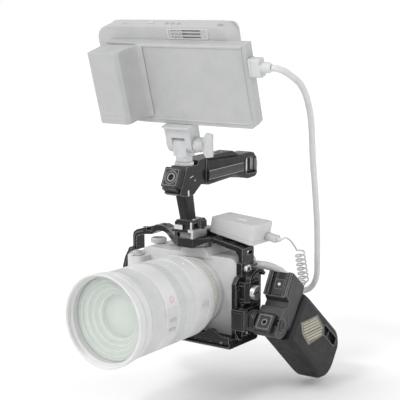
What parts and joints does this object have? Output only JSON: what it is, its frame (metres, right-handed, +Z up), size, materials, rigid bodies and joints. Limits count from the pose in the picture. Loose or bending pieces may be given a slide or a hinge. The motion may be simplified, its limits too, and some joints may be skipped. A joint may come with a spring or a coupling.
{
  "type": "cinema camera rig",
  "caption": "Camera cage with sliding top handle, swivelling side handle and cable clamp, carrying a zoom-lens camera, tilting monitor, receiver and coiled and video cables.",
  "frame": {"origin": "on the base plate's flat underside, below the lens axis and 12 mm behind the line through the fixing screw", "axes": "-Y is the way the lens points, +X is the camera's left-hand side (the side with the side handle), +Z is up"},
  "size_m": [0.2249, 0.2667, 0.3641],
  "materials": {
    "black_anodised": "satin black anodised aluminium",
    "black_coated": "matte black coating",
    "bright_steel": "turned bright steel",
    "grip_rubber": "matte textured rubber",
    "khaki_panel": "ruled khaki panel",
    "pale_grey_body": "pale grey satin",
    "pale_grey_ribbed": "pale grey ribbed rubberised plastic",
    "pale_grey_metal": "pale grey satin metal",
    "coated_glass": "coated glass",
    "pale_grey_cord": "pale grey cord sheath"
  },
  "bodies": {
    "root": {"cage_base_plate": "black_anodised", "cage_side_plate": "black_anodised", "cage_top_bridge": "black_anodised", "cage_left_arm": "black_anodised", "cage_right_arm": "black_anodised", "cable_clamp_block": "black_anodised", "lug_bolt": "bright_steel", "camera_fixing_screw": "bright_steel", "camera_body": "pale_grey_body", "camera_eyecup": "pale_grey_ribbed", "camera_lens_mount": "pale_grey_metal", "camera_video_plug": "pale_grey_cord", "lens_main_barrel": "pale_grey_body", "receiver_case": "pale_grey_body", "receiver_plug": "pale_grey_ribbed", "receiver_coiled_lead": "pale_grey_cord", "video_cable_lower": "pale_grey_cord"},
    "top_handle": {"top_clamp_body": "black_anodised", "top_handle_frame": "black_anodised", "top_handle_grip": "grip_rubber", "top_handle_strap_loop": "black_anodised", "strap_loop_pin": "bright_steel", "top_handle_cover": "black_coated", "nose_block": "black_coated", "nose_thread_insert": "bright_steel"},
    "top_clamp_jaw": {"top_clamp_jaw": "bright_steel"},
    "top_clamp_knob": {"top_clamp_knob": "black_anodised"},
    "top_clamp_safety_button": {"top_clamp_safety_button": "bright_steel"},
    "mount_lock_disc": {"mount_lock_disc": "pale_grey_metal"},
    "monitor_pan": {"mount_pan_base": "pale_grey_metal"},
    "mount_wing_knob": {"mount_wing_knob": "pale_grey_metal"},
    "monitor": {"mount_tilt_head": "pale_grey_metal", "monitor_housing": "pale_grey_body", "monitor_back_plate": "pale_grey_body", "monitor_screen": "coated_glass", "monitor_video_plug": "pale_grey_ribbed", "video_cable_upper": "pale_grey_cord"},
    "monitor_battery": {"monitor_battery": "pale_grey_ribbed"},
    "monitor_power_button": {"monitor_power_button": "pale_grey_ribbed"},
    "side_clamp": {"side_clamp_body": "black_anodised"},
    "side_clamp_jaw": {"side_clamp_jaw": "black_anodised"},
    "side_clamp_knob": {"side_clamp_knob": "bright_steel"},
    "side_handle": {"side_handle_head": "black_anodised", "side_cold_shoe": "black_anodised", "side_accessory_block": "black_coated", "side_grip": "grip_rubber", "side_grip_panel": "khaki_panel"},
    "side_swivel_button": {"side_swivel_button": "black_anodised"},
    "cable_clamp_knob": {"cable_clamp_knob": "bright_steel"},
    "cable_clamp_hook": {"cable_clamp_hook": "black_anodised"},
    "lens_zoom_ring": {"lens_zoom_ring": "pale_grey_ribbed"},
    "lens_front": {"lens_front_barrel": "pale_grey_body", "lens_front_element": "coated_glass"},
    "lens_focus_ring": {"lens_focus_ring": "pale_grey_ribbed"},
    "lens_focus_switch": {"lens_focus_switch": "pale_grey_metal"},
    "camera_mode_dial": {"camera_mode_dial": "pale_grey_ribbed"},
    "camera_exposure_dial": {"camera_exposure_dial": "pale_grey_ribbed"},
    "camera_power_switch": {"camera_power_switch": "pale_grey_ribbed"},
    "camera_shutter_button": {"camera_shutter_button": "pale_grey_metal"},
    "camera_rear_screen": {"camera_rear_screen": "pale_grey_ribbed"}
  },
  "joints": [
    {"name": "top_handle_slide", "type": "slide", "parent": "root", "child": "top_handle", "axis": [0, 1, 0], "range_m": [-0.005, 0.005], "deforming": ["video_cable_upper"]},
    {"name": "top_clamp_screw", "type": "hinge", "parent": "top_handle", "child": "top_clamp_knob", "pos_m": [0.01, -0.026, 0.1188], "axis": [1, 0, 0], "range_deg": [0, 720]},
    {"name": "top_clamp_open", "type": "slide", "parent": "top_handle", "child": "top_clamp_jaw", "axis": [1, 0, 0], "range_m": [0, 0.0016]},
    {"name": "top_clamp_safety_press", "type": "slide", "parent": "top_handle", "child": "top_clamp_safety_button", "axis": [0, 1, 0], "range_m": [0, 0.0012], "stiffness_N_per_m": 400, "springref_m": -0.0006},
    {"name": "mount_lock_disc_turn", "type": "hinge", "parent": "top_handle", "child": "mount_lock_disc", "pos_m": [-0.001, -0.037, 0.1797], "axis": [0, 0, 1], "range_deg": [0, 180]},
    {"name": "monitor_pan_turn", "type": "hinge", "parent": "top_handle", "child": "monitor_pan", "pos_m": [-0.001, -0.037, 0.182], "axis": [0, 0, 1], "range_deg": [-45, 45], "deforming": ["video_cable_upper"]},
    {"name": "mount_wing_turn", "type": "hinge", "parent": "monitor_pan", "child": "mount_wing_knob", "pos_m": [0.02, -0.037, 0.199], "axis": [1, 0, 0], "range_deg": [0, 180]},
    {"name": "monitor_tilt", "type": "hinge", "parent": "monitor_pan", "child": "monitor", "pos_m": [-0.001, -0.037, 0.199], "axis": [1, 0, 0], "range_deg": [-60, 30], "deforming": ["video_cable_upper"]},
    {"name": "monitor_battery_slide", "type": "slide", "parent": "monitor", "child": "monitor_battery", "axis": [0, -0.284, 0.9588], "range_m": [0, 0.008]},
    {"name": "monitor_power_press", "type": "slide", "parent": "monitor", "child": "monitor_power_button", "axis": [0, 0.284, -0.9588], "range_m": [0, 0.001], "stiffness_N_per_m": 400, "springref_m": -0.0006},
    {"name": "side_clamp_slide", "type": "slide", "parent": "root", "child": "side_clamp", "axis": [0, 0, 1], "range_m": [-0.004, 0.0045]},
    {"name": "side_clamp_screw", "type": "hinge", "parent": "side_clamp", "child": "side_clamp_knob", "pos_m": [0.0624, 0, 0.031], "axis": [0, 1, 0], "range_deg": [0, 720]},
    {"name": "side_clamp_open", "type": "slide", "parent": "side_clamp", "child": "side_clamp_jaw", "axis": [0, -1, 0], "range_m": [0, 0.0016]},
    {"name": "side_handle_swivel", "type": "hinge", "parent": "side_clamp", "child": "side_handle", "pos_m": [0.074, -0.018, 0.028], "axis": [1, 0, 0], "range_deg": [-51, 12]},
    {"name": "side_swivel_release", "type": "slide", "parent": "side_handle", "child": "side_swivel_button", "axis": [-1, 0, 0], "range_m": [0, 0.001], "stiffness_N_per_m": 400, "springref_m": -0.0006},
    {"name": "cable_clamp_screw", "type": "hinge", "parent": "root", "child": "cable_clamp_knob", "pos_m": [0.068, -0.0155, 0.0555], "axis": [1, 0, 0], "range_deg": [0, 720]},
    {"name": "cable_clamp_lift", "type": "slide", "parent": "root", "child": "cable_clamp_hook", "axis": [0, 0, 1], "range_m": [0, 0.0016]},
    {"name": "lens_zoom_turn", "type": "hinge", "parent": "root", "child": "lens_zoom_ring", "pos_m": [0, -0.09, 0.049], "axis": [0, 1, 0], "range_deg": [0, 80]},
    {"name": "lens_front_extend", "type": "slide", "parent": "root", "child": "lens_front", "axis": [0, -1, 0], "range_m": [0, 0.02]},
    {"name": "lens_focus_turn", "type": "hinge", "parent": "root", "child": "lens_focus_ring", "pos_m": [0, -0.135, 0.049], "axis": [0, 1, 0], "continuous": true},
    {"name": "lens_focus_switch_slide", "type": "slide", "parent": "root", "child": "lens_focus_switch", "axis": [0, -1, 0], "range_m": [0, 0.003]},
    {"name": "camera_mode_dial_turn", "type": "hinge", "parent": "root", "child": "camera_mode_dial", "pos_m": [-0.062, 0.002, 0.0873], "axis": [0, 0, 1], "continuous": true},
    {"name": "camera_exposure_dial_turn", "type": "hinge", "parent": "root", "child": "camera_exposure_dial", "pos_m": [-0.043, 0.004, 0.0873], "axis": [0, 0, 1], "continuous": true},
    {"name": "camera_power_switch_turn", "type": "hinge", "parent": "root", "child": "camera_power_switch", "pos_m": [-0.0675, -0.028, 0.0793], "axis": [0, 0, 1], "range_deg": [0, 35]},
    {"name": "camera_shutter_press", "type": "slide", "parent": "root", "child": "camera_shutter_button", "axis": [0, 0, -1], "range_m": [0, 0.001], "stiffness_N_per_m": 400, "springref_m": -0.0006},
    {"name": "camera_rear_screen_tilt", "type": "hinge", "parent": "root", "child": "camera_rear_screen", "pos_m": [0, 0.0206, 0.072], "axis": [1, 0, 0], "range_deg": [0, 75]}
  ],
  "couplings": [
    {"joint": "top_clamp_screw", "follows": "top_clamp_open", "rad_per_m": 7854},
    {"joint": "side_clamp_screw", "follows": "side_clamp_open", "rad_per_m": 7854},
    {"joint": "cable_clamp_screw", "follows": "cable_clamp_lift", "rad_per_m": 7854},
    {"joint": "lens_zoom_turn", "follows": "lens_front_extend", "rad_per_m": 69.8}
  ]
}
